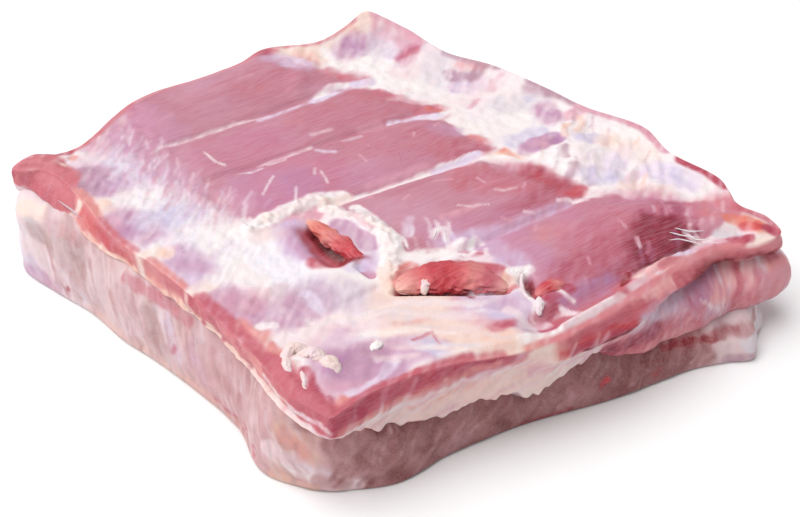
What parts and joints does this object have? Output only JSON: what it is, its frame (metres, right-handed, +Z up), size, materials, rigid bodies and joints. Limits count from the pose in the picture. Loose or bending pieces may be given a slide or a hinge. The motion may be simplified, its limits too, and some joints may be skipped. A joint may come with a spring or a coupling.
{
  "type": "raw boneless pork belly",
  "caption": "Raw boneless pork belly slab, skin side down, with crowned rib muscle and membrane seams on top, a cut red edge, a hanging fat curtain and a bulging lobe.",
  "frame": {"origin": "centre of the bounding box's underside, on the surface the piece lies on", "axes": "+X along the front cut from the thin end to the thick end, +Y from the front cut to the back cut, +Z up out of the rib side"},
  "size_m": [0.267, 0.2792, 0.053],
  "materials": {
    "raw_flesh": "moist raw meat and fat, soft satin sheen"
  },
  "bodies": {
    "root": {"pork_belly": "raw_flesh"}
  },
  "joints": []
}
